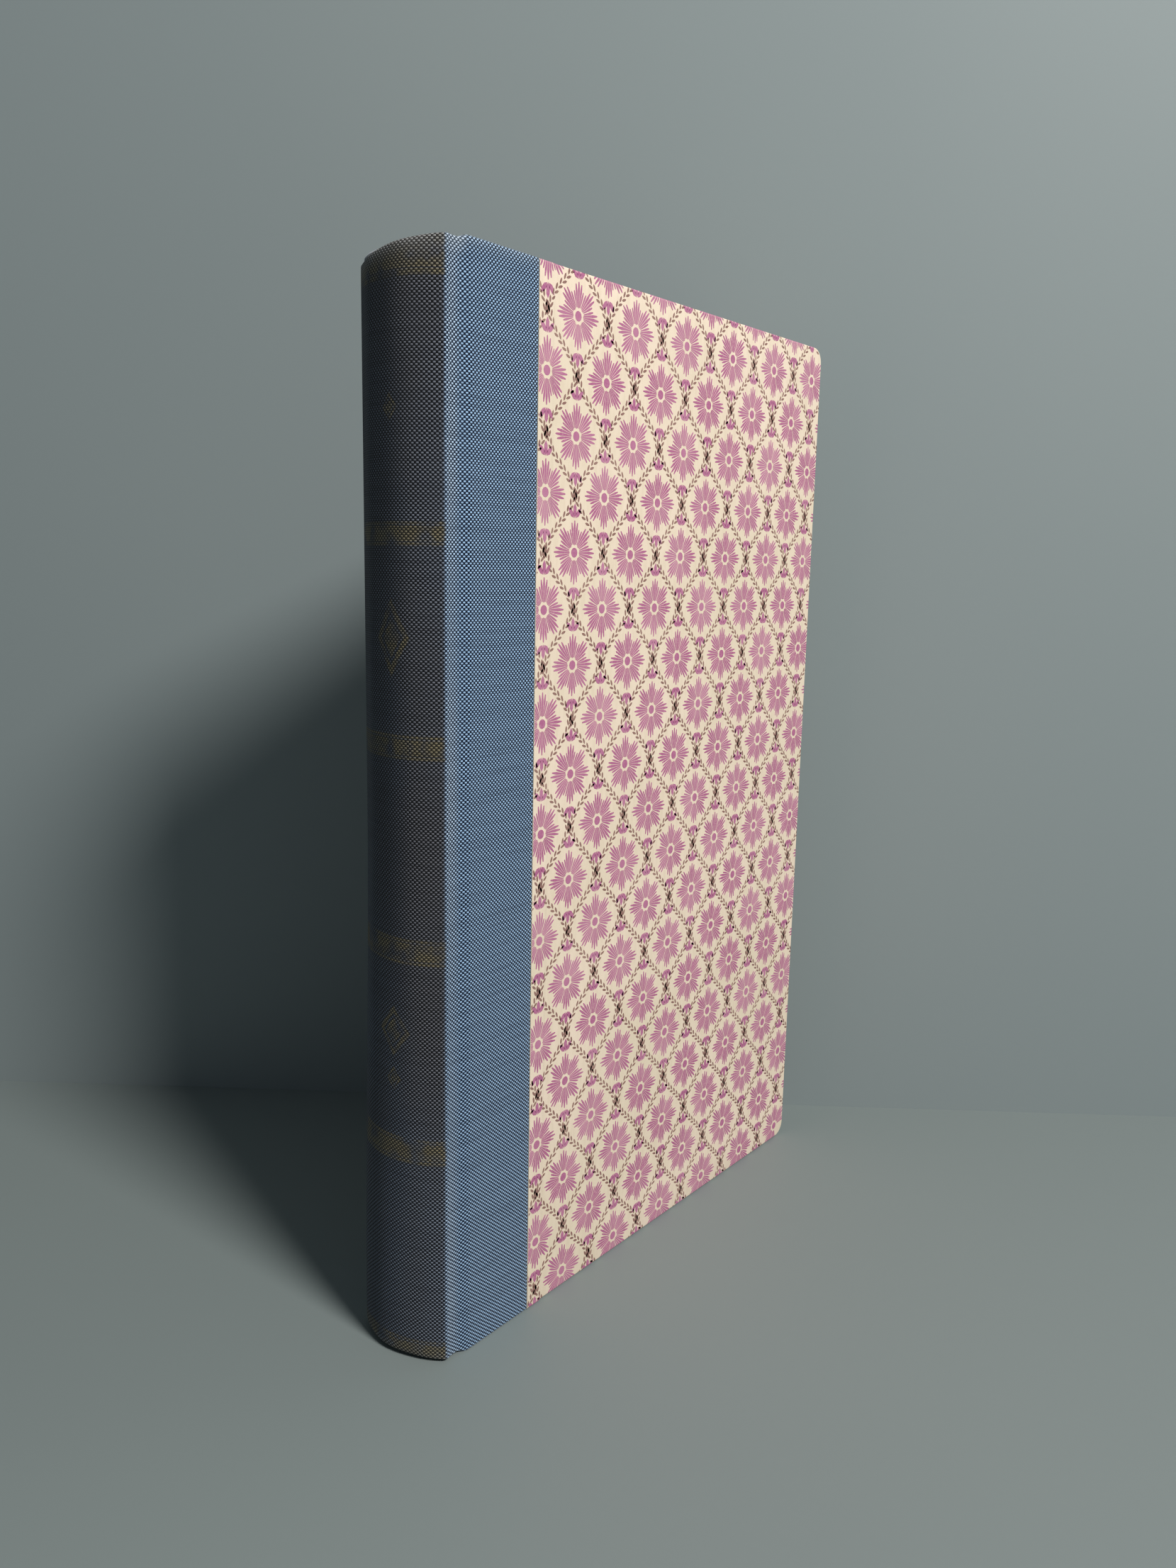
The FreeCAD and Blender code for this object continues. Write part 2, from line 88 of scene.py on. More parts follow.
def makeMesh(name, points, faces, uv=None, attributes=None, smooth=True):
    mesh = bpy.data.meshes.new(name)
    mesh.from_pydata((np.asarray(points, float) * mm).tolist(), [], [[int(i) for i in f] for f in faces])
    if uv is not None:
        layer = mesh.uv_layers.new(name="threads")
        corner = np.zeros(len(mesh.loops), np.int32)
        mesh.loops.foreach_get("vertex_index", corner)
        layer.data.foreach_set("uv", np.asarray(uv, np.float32)[corner].ravel())
    for key, values in (attributes or {}).items():
        layer = mesh.attributes.new(key, "FLOAT", "POINT")
        layer.data.foreach_set("value", np.asarray(values, np.float32).ravel())
    mesh.polygons.foreach_set("use_smooth", [smooth] * len(mesh.polygons))
    mesh.update()
    piece = bpy.data.objects.new(name, mesh)
    bpy.context.scene.collection.objects.link(piece)
    return piece


def gridFaces(rows, columns):
    faces = []
    for r in range(rows - 1):
        for c in range(columns - 1):
            a = r * columns + c
            faces.append((a, a + 1, a + columns + 1, a + columns))
    return faces


def tubeFaces(rings, around):
    faces = []
    for ring in range(rings - 1):
        for k in range(around):
            a, b = ring * around + k, ring * around + (k + 1) % around
            faces.append((a, b, b + around, a + around))
    return faces


def sheetPoints(x, y, z):        # rows by columns; x and y run along the columns, z up the rows
    return np.stack(np.broadcast_arrays(x, y, z), -1)


def applyModifiers(piece):
    graph = bpy.context.evaluated_depsgraph_get()
    mesh = bpy.data.meshes.new_from_object(piece.evaluated_get(graph))
    old, piece.data = piece.data, mesh
    piece.modifiers.clear()
    bpy.data.meshes.remove(old)


def faceOutwards(piece, facing):        # an open sheet's own face looks away from the middle of the book
    widest = max(piece.data.polygons, key=lambda p: p.center.y * facing)
    if widest.normal.y * facing < 0:
        piece.data.flip_normals()


def faceOut(piece):        # the same for a closed form
    work = bmesh.new()
    work.from_mesh(piece.data)
    bmesh.ops.recalc_face_normals(work, faces=work.faces)
    work.to_mesh(piece.data)
    work.free()


def thicken(piece, thickness, offset=-1):
    shell = piece.modifiers.new("thickness", "SOLIDIFY")
    shell.thickness = thickness * mm
    shell.offset = offset
    shell.use_quality_normals = True
    applyModifiers(piece)
    piece.data.set_sharp_from_angle(angle=math.radians(crease))
    return piece


def smoothStep(low, high, x):
    t = np.clip((np.asarray(x, float) - low) / (high - low), 0, 1)
    return t * t * (3 - 2 * t)


def line(start, end, count):
    return np.linspace(start, end, count)


def arc(centre, radius, startDeg, endDeg, count):
    angles = np.radians(np.linspace(startDeg, endDeg, count))
    return np.stack([centre[0] + radius * np.cos(angles), centre[1] + radius * np.sin(angles)], 1)


# shader helpers

def tone(red, green, blue):        # a colour as a screen shows it, 0 to 255, in the linear values of a shader
    shown = (red / 255, green / 255, blue / 255)
    return tuple(c / 12.92 if c <= 0.04045 else ((c + 0.055) / 1.055) ** 2.4 for c in shown)


class Material:
    def __init__(self, name, roughness=0.8, sheen=0.0, specular=0.3):
        self.block = bpy.data.materials.new(name)
        self.block.use_nodes = True
        self.nodes, self.links = self.block.node_tree.nodes, self.block.node_tree.links
        self.surface = self.nodes["Principled BSDF"]
        self.surface.inputs["Roughness"].default_value = roughness
        self.surface.inputs["Sheen Weight"].default_value = sheen
        self.surface.inputs["Specular IOR Level"].default_value = specular

    def feed(self, socket, value):
        if isinstance(value, bpy.types.NodeSocket):
            self.links.new(value, socket)
        elif socket.type == "RGBA":
            socket.default_value = (*value, 1)
        else:
            socket.default_value = value

    def math(self, operation, *values):
        node = self.nodes.new("ShaderNodeMath")
        node.operation = operation
        for socket, value in zip(node.inputs, values):
            self.feed(socket, value)
        return node.outputs[0]

    def step(self, value, low, high, atLow=0.0, atHigh=1.0):
        node = self.nodes.new("ShaderNodeMapRange")
        node.interpolation_type = "SMOOTHSTEP"
        self.feed(node.inputs["Value"], value)
        node.inputs["From Min"].default_value = low
        node.inputs["From Max"].default_value = high
        node.inputs["To Min"].default_value = atLow
        node.inputs["To Max"].default_value = atHigh
        return node.outputs["Result"]

    def mix(self, factor, first, second, blend="MIX"):
        node = self.nodes.new("ShaderNodeMix")
        node.data_type = "RGBA"
        node.blend_type = blend
        self.feed(node.inputs[0], factor)
        self.feed(node.inputs[6], first)
        self.feed(node.inputs[7], second)
        return node.outputs[2]

    def inObject(self):
        return self.nodes.new("ShaderNodeTexCoord").outputs["Object"]

    def noise(self, scale, detail=3.0, vector=None, roughness=0.5):
        node = self.nodes.new("ShaderNodeTexNoise")
        node.inputs["Scale"].default_value = scale
        node.inputs["Detail"].default_value = detail
        node.inputs["Roughness"].default_value = roughness
        self.links.new(vector or self.inObject(), node.inputs["Vector"])
        return node.outputs["Fac"]

    def stretched(self, x, y, z):
        node = self.nodes.new("ShaderNodeMapping")
        node.inputs["Scale"].default_value = (x, y, z)
        self.links.new(self.inObject(), node.inputs["Vector"])
        return node.outputs["Vector"]

    def vector(self, *values):
        node = self.nodes.new("ShaderNodeCombineXYZ")
        for socket, value in zip(node.inputs, values):
            self.feed(socket, value)
        return node.outputs[0]

    def perThread(self, number):        # one random value for each whole number
        node = self.nodes.new("ShaderNodeTexWhiteNoise")
        node.noise_dimensions = "1D"
        self.links.new(number, node.inputs["W"])
        return node.outputs["Value"]

    def place(self):
        split = self.nodes.new("ShaderNodeSeparateXYZ")
        self.links.new(self.inObject(), split.inputs[0])
        return split.outputs

    def threadPlace(self):
        node = self.nodes.new("ShaderNodeUVMap")
        node.uv_map = "threads"
        split = self.nodes.new("ShaderNodeSeparateXYZ")
        self.links.new(node.outputs[0], split.inputs[0])
        return split.outputs[0], split.outputs[1]

    def attribute(self, name):
        node = self.nodes.new("ShaderNodeAttribute")
        node.attribute_name = name
        return node.outputs["Fac"]

    def bump(self, height, distance, strength=1.0):
        node = self.nodes.new("ShaderNodeBump")
        node.inputs["Strength"].default_value = strength
        node.inputs["Distance"].default_value = distance * mm
        self.links.new(height, node.inputs["Height"])
        self.links.new(node.outputs[0], self.surface.inputs["Normal"])

    def colour(self, value):
        self.feed(self.surface.inputs["Base Color"], value)

    def paint(self, *pieces):
        for piece in pieces:
            piece.data.materials.clear()
            piece.data.materials.append(self.block)


# cloth over the spine and on to both boards

caseCloth = {
    "thickness": 0.28, "turnIn": 15.0, "edgeRound": 0.6,
    "turnSunk": 0.5,        # in the joint the turned-in cloth lies this much deeper than on the board
    # the pressed groove, an old and shallow one
    "dip": 0.7, "dipX": boardX - 2.2, "dipEndX": boardX + 0.8,
    "backRadius": 18.1, "turnRadius": 16.8, "ridgeRadius": 1.1, "ridgeDepth": 0.5,
    "ridgeSlope": 76.0,        # degrees, where the groove's slope leaves the ridge
    "underPaper": 0.14,        # the cloth is pressed in below the paper
    "paperLap": 4.0,        # and the paper covers this much of it
    "seam": 24.0,        # degrees past the middle of the back, where the two halves of the sheet meet
    "rows": 46, "frontColumns": 34, "backColumns": 8,        # up the face, and round the back in each half
    # wear: the spine is bruised down at head and tail, and has settled over to one side
    "headDrop": 2.7, "sunk": 0.6, "tailLift": 0.7, "tailDrawn": 0.6,
    "headLean": 0.9, "tailLean": -0.6, "capLean": 0.7, "capRoll": 3.4, "frayed": 5.6,
}
paperX = lapX - caseCloth["paperLap"]
roundX = spineLow[0] + caseCloth["backRadius"]


def clothPlan(backEnd, backCount):
    # outer face, inner face of the turned-in cloth, and length along the sheet, from the paper to the spine
    c = caseCloth
    ridgeReach = c["backRadius"] - c["ridgeRadius"]
    ridgeY = faceY - c["ridgeDepth"] - c["ridgeRadius"]
    ridge = np.array([roundX - math.sqrt(ridgeReach ** 2 - ridgeY ** 2), ridgeY])
    backStart = 180 - math.degrees(math.asin(ridgeY / ridgeReach))
    crest = arc(ridge, c["ridgeRadius"], c["ridgeSlope"], backStart, 12)
    dipY = faceY - c["dip"]
    riseX = np.linspace(c["dipEndX"], c["dipX"], 13)
    rise = np.column_stack([riseX, faceY - c["dip"] * smoothStep(c["dipEndX"], c["dipX"], riseX)])
    fallX = np.linspace(c["dipX"], crest[0][0], 9)[1:-1]
    share = (fallX - c["dipX"]) / (crest[0][0] - c["dipX"])
    # the far side of the groove leaves the valley level and meets the ridge at its slope
    reach, climb = c["dipX"] - crest[0][0], crest[0][1] - dipY
    steep = reach / math.tan(math.radians(c["ridgeSlope"]))
    fallY = dipY + (3 * climb - steep) * share ** 2 + (steep - 2 * climb) * share ** 3
    fall = np.column_stack([fallX, fallY])
    pressed = faceY - c["underPaper"]
    flat = (paperX - 0.2, c["dipEndX"] + 0.3)
    back = arc((roundX, 0), c["backRadius"], backStart + 2, backEnd, backCount)
    outer = np.concatenate([
        line((lapX, pressed), (paperX + 0.15, pressed), 4), line((flat[0], faceY), (flat[1], faceY), 9),
        rise, fall, crest, back,
    ])
    footX = hingeX - 0.15
    before = int(np.sum(outer[:, 0] > footX))
    inner = outer.copy()
    atBoard = smoothStep(boardX - 0.7, boardX - 0.05, inner[:before, 0])
    inner[:before, 1] = turnY + c["turnSunk"] * (1 - atBoard)
    turned = arc((roundX, 0), c["turnRadius"], backStart + 2, backEnd, backCount)
    inner[-backCount:] = turned
    between = np.linspace(0, 1, len(outer) - backCount - before + 2)[1:-1, None]
    foot = np.array([footX - 0.1, turnY + c["turnSunk"]])
    inner[before:-backCount] = foot * (1 - between) + turned[0] * between
    along = np.concatenate([[0], np.cumsum(np.hypot(*np.diff(outer, axis=0).T))])
    return outer, inner, along - along[len(outer) - backCount - 4]


def foldedSection(depth):        # depth into the book and height, once round the folded cloth
    c = caseCloth
    r = min(c["edgeRound"], depth * 0.49)
    turned = [(depth, z) for z in np.linspace(c["turnIn"], r + 0.8, 3)]
    edge = np.concatenate([arc((depth - r, r), r, 0, -90, 6), arc((r, r - 1e-4), r, -90, -180, 6)])
    half = np.concatenate([turned, edge])
    end = np.array([0.0, 0.5, 1.1, 1.9, 3.0, 4.6, 7.0]) + r + 0.3
    up = np.concatenate([end, np.linspace(12, height - 12, c["rows"]), (height - end)[::-1]])
    face = np.column_stack([np.zeros(len(up)), up])
    return np.concatenate([half, face, np.column_stack([half[::-1, 0], height - half[::-1, 1]])])


def settle(points):
    # the worn outline: x, y and z of each point of the closed case, moved
    c = caseCloth
    x, y, z = points[..., 0], points[..., 1], points[..., 2]
    # 0 at the middle of the back, more towards the back cover
    around = np.degrees(np.arctan2(y, roundX - x))
    offBoard = 1 - smoothStep(hingeX - 0.3, boardX - 0.1, x)
    bruised = np.clip((around + 42) / 88, 0, 1) ** 1.1 * offBoard
    onBack = 1 - smoothStep(18, 46, np.abs(around))
    pastJoint = smoothStep(boardX - 0.2, boardX - 2.4, x)
    drop = c["sunk"] * pastJoint + c["headDrop"] * bruised
    lift = c["tailLift"] * pastJoint + c["tailDrawn"] * bruised
    nearHead, nearTail = smoothStep(height - 22, height, z), 1 - smoothStep(0, 16, z)
    # the cap rolls in towards the pages over its last few millimetres
    fromEnd = np.clip(np.minimum(height - z, z), 0, c["capRoll"]) / c["capRoll"]
    rolled = 1 - np.sqrt(1 - (1 - fromEnd) ** 2)
    inward = c["capLean"] * onBack * rolled * np.where(z > height / 2, 1, 0.5)
    leaning = offBoard * (c["tailLean"] + (c["headLean"] - c["tailLean"]) * smoothStep(0, 0.55, z / height))
    pulledX = leaning * smoothStep(-20, 12, around) * (1 - smoothStep(26, 54, around))
    pulledY = leaning * smoothStep(12, 40, around)
    return np.stack([
        x + pulledX + inward * np.cos(np.radians(around)),
        y - pulledY - inward * np.sin(np.radians(around)),
        z - drop * nearHead + lift * nearTail,
    ], -1)


def makeCaseCloth():
    c = caseCloth
    plans = {
        "front": clothPlan(180 + c["seam"], c["frontColumns"]),
        "back": clothPlan(180 - c["seam"], c["backColumns"]),
    }
    foldRow = 8        # the row of each section where the cloth folds in at the tail
    fullLength = plans["front"][2][-1] + plans["back"][2][-1]
    pieces = {}
    for side, (outer, inner, along) in plans.items():
        columns = []
        for o, i in zip(outer, inner):
            depth = np.hypot(*(i - o))
            into = (i - o) / depth
            section = foldedSection(depth)
            y = (o[1] + into[1] * section[:, 0]) * sides[side]
            columns.append(np.column_stack([o[0] + into[0] * section[:, 0], y, section[:, 1]]))
        points = settle(np.stack(columns, 1))        # rows by columns
        rows, count = points.shape[:2]
        lengths = np.linalg.norm(np.diff(points, axis=0), axis=2)
        up = np.concatenate([np.zeros((1, count)), np.cumsum(lengths, axis=0)])
        up += points[rows // 2, :, 2] - up[rows // 2]
        across = along if side == "front" else fullLength - along        # the threads run on past the seam
        fromTail, fromHead = np.abs(up - up[foldRow]), np.abs(up - up[-1 - foldRow])
        atHead = 1 - smoothStep(0.3, c["frayed"], fromHead)
        atTail = 0.5 - 0.5 * smoothStep(0.3, c["frayed"] / 2, fromTail)
        frayed = np.maximum(atHead, atTail)
        frayed *= 1 - 0.5 * smoothStep(hingeX, boardX + 2, points[..., 0])
        # the spine's cloth, greyer and darker from the ridge on: partly its own sun-faded colour, partly painted
        # shade of the spine turned from the light
        sunnedAndShaded = smoothStep(-0.5, 0.5, along)
        # a paler strip along the ridge and down into the groove: partly rubbing wear, partly a painted highlight
        # where the ridge faces the light
        rubbedAndLit = smoothStep(-4.4, -2.2, along) * (1 - smoothStep(-0.5, 0.3, along))
        flat = points.reshape(-1, 3)
        angle = np.degrees(np.arctan2(-flat[:, 1], roundX - flat[:, 0]))
        piece = makeMesh(
            side + "Cloth", flat, gridFaces(rows, count),
            uv=np.stack([np.broadcast_to(across, (rows, count)), up], 2).reshape(-1, 2),
            attributes={
                "sunnedAndShaded": np.broadcast_to(sunnedAndShaded, (rows, count)),
                "rubbedAndLit": np.broadcast_to(rubbedAndLit, (rows, count)),
                "frayed": frayed,
                "spineAngle": angle,
            },
        )
        faceOutwards(piece, sides[side])
        thicken(piece, c["thickness"])
        pieces[side] = piece
    return pieces


# the stiffening card, worn down with the cloth round it

spineCard = {
    "startAngle": 142, "endAngle": 218, "columns": 25, "rows": 40,
    "short": 0.7, "underCloth": 0.42, "thickness": 0.48,
}


def makeSpineCard():
    s = spineCard
    angles = np.radians(np.linspace(s["startAngle"], s["endAngle"], s["columns"]))
    z = np.linspace(s["short"], height - s["short"], s["rows"])[:, None]
    reach = caseCloth["backRadius"] - s["underCloth"]
    points = settle(sheetPoints(roundX + reach * np.cos(angles), reach * np.sin(angles), z))
    piece = makeMesh("spineCard", points.reshape(-1, 3), gridFaces(s["rows"], s["columns"]))
    if piece.data.polygons[len(piece.data.polygons) // 2].normal.x > 0:
        piece.data.flip_normals()
    return thicken(piece, s["thickness"])


# the look of the cloth

weave = {
    "across": 0.49, "up": 0.44,        # spacing of the threads
    "light": tone(158, 190, 222), "dark": tone(6, 24, 48),
    # the ridge strip's paler threads: rubbing wear and a painted highlight
    "rubbedAndLitLight": tone(186, 204, 224), "rubbedAndLitDark": tone(28, 42, 60),
    "frayedLight": tone(202, 212, 222), "frayedDark": tone(78, 90, 104),
    "frayedSpineLight": tone(172, 172, 172), "frayedSpineDark": tone(66, 63, 60),
    # the spine: its own greyer sun-faded colour, darkened further with painted shade
    "sunnedAndShadedLight": tone(112, 112, 119), "sunnedAndShadedDark": tone(6, 7, 12),
    "backLight": tone(90, 94, 106), "backDark": tone(8, 10, 17),        # the middle of the back, less faded; darkened with painted shade like the rest of the spine
    "goldLight": tone(150, 138, 106), "goldDark": tone(46, 41, 28),
}
tooling = {        # worn gold on the spine, in bands and lozenges; heights from the tail
    "bands": [(-0.5, 5.0), (45.6, 51.1), (88.9, 94.2), (131.0, 135.7), (172.4, 176.8), (221.0, 229.6)],
    # height, half width and half height
    "lozenges": [(198.0, 2.0, 2.6), (154.7, 4.6, 7.6), (74.0, 4.2, 5.4), (63.6, 1.9, 2.6)],
    "centre": 5.0,        # degrees round the spine, towards the front
    "edge": 0.25,
}


def goldMask(m, up):
    t = tooling
    mask = 0.0
    for low, high in t["bands"]:
        begun = m.step(up, low - t["edge"], low + t["edge"])
        unended = m.step(up, high - t["edge"], high + t["edge"], 1, 0)
        band = m.math("MULTIPLY", begun, unended)
        middle, reach = (low + high) / 2, (high - low) / 2
        off = m.math("ABSOLUTE", m.math("SUBTRACT", up, middle))
        cut = m.math("COMPARE", off, reach * 0.72, 0.16)        # a fine line left bare inside each edge
        mask = m.math("MAXIMUM", m.math("SUBTRACT", band, m.math("MULTIPLY", cut, 0.7)), mask)
    turned = m.math("SUBTRACT", m.attribute("spineAngle"), t["centre"])
    beside = m.math("ABSOLUTE", m.math("MULTIPLY", turned, math.radians(caseCloth["backRadius"])))
    for middle, wide, tall in t["lozenges"]:
        off = m.math("DIVIDE", m.math("ABSOLUTE", m.math("SUBTRACT", up, middle)), tall)
        reach = m.math("ADD", m.math("DIVIDE", beside, wide), off)
        shape = m.step(reach, 0.95, 1.05, 1, 0)
        ring = m.math("COMPARE", reach, 0.62, 0.09)
        mask = m.math("MAXIMUM", m.math("SUBTRACT", shape, ring), mask)
    return mask


def makeClothMaterial():
    m = Material("weave", roughness=0.86, sheen=0.12, specular=0.22)
    u, v = m.threadPlace()
    drift = m.noise(45, 2)
    driftUp = m.noise(30, 2, m.stretched(1, 1, 0.35))
    across = m.math("ADD", m.math("DIVIDE", u, weave["across"]), m.math("MULTIPLY", drift, 1.6))
    up = m.math("ADD", m.math("DIVIDE", v, weave["up"]), m.math("MULTIPLY", driftUp, 1.6))
    column, row = m.math("FLOOR", across), m.math("FLOOR", up)
    odd = m.math("FLOORED_MODULO", m.math("ADD", column, row), 2.0)
    # how far each point is from its thread's middle, 1 on the thread's ridge and 0 between threads
    sideways = m.math("MULTIPLY", m.math("SUBTRACT", m.math("FRACT", across), 0.5), 2.0)
    upwards = m.math("MULTIPLY", m.math("SUBTRACT", m.math("FRACT", up), 0.5), 2.0)
    ridgeAcross = m.math("SUBTRACT", 1.0, m.math("MULTIPLY", sideways, sideways))
    ridgeUp = m.math("SUBTRACT", 1.0, m.math("MULTIPLY", upwards, upwards))
    weft = m.math("MULTIPLY", ridgeUp, m.math("MULTIPLY_ADD", ridgeAcross, 0.45, 0.55))
    warp = m.math("MULTIPLY", ridgeAcross, m.math("MULTIPLY_ADD", ridgeUp, 0.45, 0.55))
    even = m.math("SUBTRACT", 1.0, odd)
    lift = m.math("ADD", m.math("MULTIPLY", weft, even), m.math("MULTIPLY", warp, odd))
    pale = m.math("MULTIPLY", even, m.step(weft, 0.22, 0.58))
    slub = m.noise(1.0, 2, m.vector(m.math("MULTIPLY", u, 0.09), m.math("MULTIPLY", row, 0.83), 0.0))
    uneven = m.math("ADD", m.math("MULTIPLY", m.perThread(row), 0.22), m.math("MULTIPLY_ADD", slub, 0.7, 0.5))
    pale = m.math("MULTIPLY", pale, uneven)
    # the spine's colours: partly the cloth's own sun-faded grey, partly painted shade of the spine turned from the
    # light
    sunnedAndShaded = m.attribute("sunnedAndShaded")
    patch = m.noise(22, 4, m.stretched(1, 1, 0.5))
    sunnedAndShaded = m.math("MULTIPLY", sunnedAndShaded, m.step(patch, 0.2, 0.62, 0.72, 1.0))
    mottled = m.math("MULTIPLY_ADD", m.noise(38, 3), 26.0, -13.0)
    faded = m.step(m.math("ADD", m.attribute("spineAngle"), mottled), 2.0, 24.0)
    light = m.mix(sunnedAndShaded, weave["light"], m.mix(faded, weave["backLight"], weave["sunnedAndShadedLight"]))
    dark = m.mix(sunnedAndShaded, weave["dark"], m.mix(faded, weave["backDark"], weave["sunnedAndShadedDark"]))
    # the ridge strip turns paler in patches: partly rubbing wear, partly a painted highlight on the lit ridge
    rubbedAndLitPatches = m.step(m.noise(60, 3, m.stretched(1, 1, 0.3)), 0.3, 0.7, 0.3, 0.75)
    rubbedAndLit = m.math("MULTIPLY", m.attribute("rubbedAndLit"), rubbedAndLitPatches)
    light = m.mix(rubbedAndLit, light, weave["rubbedAndLitLight"])
    dark = m.mix(rubbedAndLit, dark, weave["rubbedAndLitDark"])
    frayed = m.math("MULTIPLY", m.attribute("frayed"), m.step(m.noise(110, 3), 0.25, 0.6, 0.6, 1.0))
    light = m.mix(frayed, light, m.mix(sunnedAndShaded, weave["frayedLight"], weave["frayedSpineLight"]))
    dark = m.mix(frayed, dark, m.mix(sunnedAndShaded, weave["frayedDark"], weave["frayedSpineDark"]))
    worn = m.math("MULTIPLY", m.step(m.noise(260, 3), 0.28, 0.6), m.math("SUBTRACT", 1.0, frayed))
    onThreads = m.math("MULTIPLY", worn, m.step(lift, 0.1, 0.5, 0.45, 1))
    gold = m.math("MULTIPLY", goldMask(m, v), m.math("MULTIPLY", m.attribute("sunnedAndShaded"), onThreads))
    gold = m.math("MULTIPLY", gold, 0.85)
    light = m.mix(gold, light, weave["goldLight"])
    dark = m.mix(gold, dark, weave["goldDark"])
    shade = m.mix(pale, dark, light)
    soiled = m.mix(1.0, shade, (0.72, 0.76, 0.8), "MULTIPLY")
    m.colour(m.mix(m.step(m.noise(12, 3), 0.3, 0.7, 0, 0.12), shade, soiled))
    m.feed(m.surface.inputs["Metallic"], m.math("MULTIPLY", gold, 0.2))
    m.bump(lift, 0.11, 0.75)
    return m


# decorated paper on the sides

sidePaper = {
    "thickness": 0.18, "lapFace": faceY + 0.12, "face": outerY + 0.23,
    "inside": innerY - 0.22, "lapInside": turnY - 0.08,
    "bend": 0.45, "corner": 3.8, "turnIn": 14.4, "foreX": foreX + 0.2, "tailZ": 0.15,
    "rows": 27, "meetsCorner": 3.3,
    "lapSteps": (0.05, 0.4, 0.73, 1.05, 1.4),        # past the cloth's edge, where it comes down to the board
}


def pastLap(x, onCloth, onBoard):
    first, last = sidePaper["lapSteps"][0], sidePaper["lapSteps"][-1]
    return onCloth + (onBoard - onCloth) * smoothStep(lapX + first, lapX + last, x)


def paperFace(x):
    return pastLap(x, sidePaper["lapFace"], sidePaper["face"])


def paperInside(x):
    return pastLap(x, sidePaper["lapInside"], sidePaper["inside"])


def paperPath(depth):        # length of each bend at the board's edge, and of the straight between them
    quarter = sidePaper["bend"] * math.pi / 2
    straight = depth - 2 * sidePaper["bend"]
    return quarter, straight


def overEdge(distance, depth, lift=0.0):
    # how far out and how deep a point lies that is this far along the paper from where the bend begins
    r = sidePaper["bend"]
    quarter, straight = paperPath(depth)
    first = np.clip(distance / r, 0, math.pi / 2)
    side = np.clip(distance - quarter, 0, straight)
    second = np.clip((distance - quarter - straight) / r, 0, math.pi / 2)
    inside = np.maximum(distance - 2 * quarter - straight, 0)
    turn = first + second
    out = np.minimum(distance, 0) + r * np.sin(first) - r * (1 - np.cos(second)) - inside
    drop = r * (1 - np.cos(first)) + side + r * np.sin(second)
    return out + lift * np.sin(turn), drop - lift * np.cos(turn)


def makeSidePaper(side):
    p = sidePaper
    facing = sides[side]
    radius = p["corner"] - p["bend"]
    edgeX, lowZ = p["foreX"] - p["bend"], p["tailZ"] + p["bend"]
    highZ = height - lowZ
    arcX = edgeX - radius
    onCloth = [paperX, paperX + 0.3, paperX + 1.2, paperX + 2.6]
    ontoBoard = [lapX + step for step in p["lapSteps"]]
    straightX = np.concatenate([onCloth, ontoBoard, np.linspace(lapX + 8, arcX, 15)])
    turn = np.radians(np.linspace(0, 90, 10)[1:])
    x = np.concatenate([straightX, arcX + radius * np.sin(turn)])
    inset = np.concatenate([np.zeros(len(straightX)), radius * (1 - np.cos(turn))])
    # which way each column's end looks, 0 straight up or down
    lean = np.concatenate([np.zeros(len(straightX)), turn])
    columns, rows = len(x), p["rows"]
    share = np.linspace(0, 1, rows)[:, None]
    z = lowZ + inset + share * (highZ - lowZ - 2 * inset)
    face = sheetPoints(x, paperFace(x), z).reshape(-1, 3)
    grid = np.arange(rows * columns).reshape(rows, columns)
    rim = np.concatenate([grid[0], grid[1:-1, -1], grid[-1, ::-1]])
    away = np.concatenate([
        np.stack([np.sin(lean), -np.cos(lean)], 1),
        np.tile([1.0, 0.0], (rows - 2, 1)),
        np.stack([np.sin(lean), np.cos(lean)], 1)[::-1],
    ])
    start = face[rim]
    depth = start[:, 1] - paperInside(start[:, 0])
    quarter, straight = paperPath(depth)
    # at a corner the turned-in flaps meet on the line that halves it
    toEnd = np.minimum(start[:, 2] - lowZ, highZ - start[:, 2])
    toCorner = np.where(np.abs(away[:, 0]) < 0.01, edgeX - start[:, 0], toEnd)
    slanted = (np.abs(away[:, 0]) > 0.01) & (np.abs(away[:, 1]) > 0.01)
    reach = np.clip(np.where(slanted, 0, toCorner), p["meetsCorner"], p["turnIn"])
    loops = []
    for k in range(1, 6):
        loops.append(quarter * k / 5)
    loops.append(quarter + straight / 2)
    for k in range(6):
        loops.append(quarter + straight + quarter * k / 5)
    for part in (0.1, 0.4, 0.7, 1.0):
        loops.append(2 * quarter + straight + reach * part)
    points, faces = [face], gridFaces(rows, columns)
    previous = rim
    for distance in loops:
        out, drop = overEdge(distance, depth)
        ringX, ringZ = start[:, 0] + away[:, 0] * out, start[:, 2] + away[:, 1] * out
        here = sum(len(q) for q in points) + np.arange(len(rim))
        points.append(np.column_stack([ringX, start[:, 1] - drop, ringZ]))
        faces += [(previous[k], here[k], here[k + 1], previous[k + 1]) for k in range(len(rim) - 1)]
        previous = here
    points = np.concatenate(points)
    points[:, 1] *= facing
    piece = makeMesh(side + "Paper", points, faces)
    faceOutwards(piece, facing)
    return thicken(piece, p["thickness"])


# the print: an ogee trellis of braided cord with a rosette in each opening, as on old printed papers

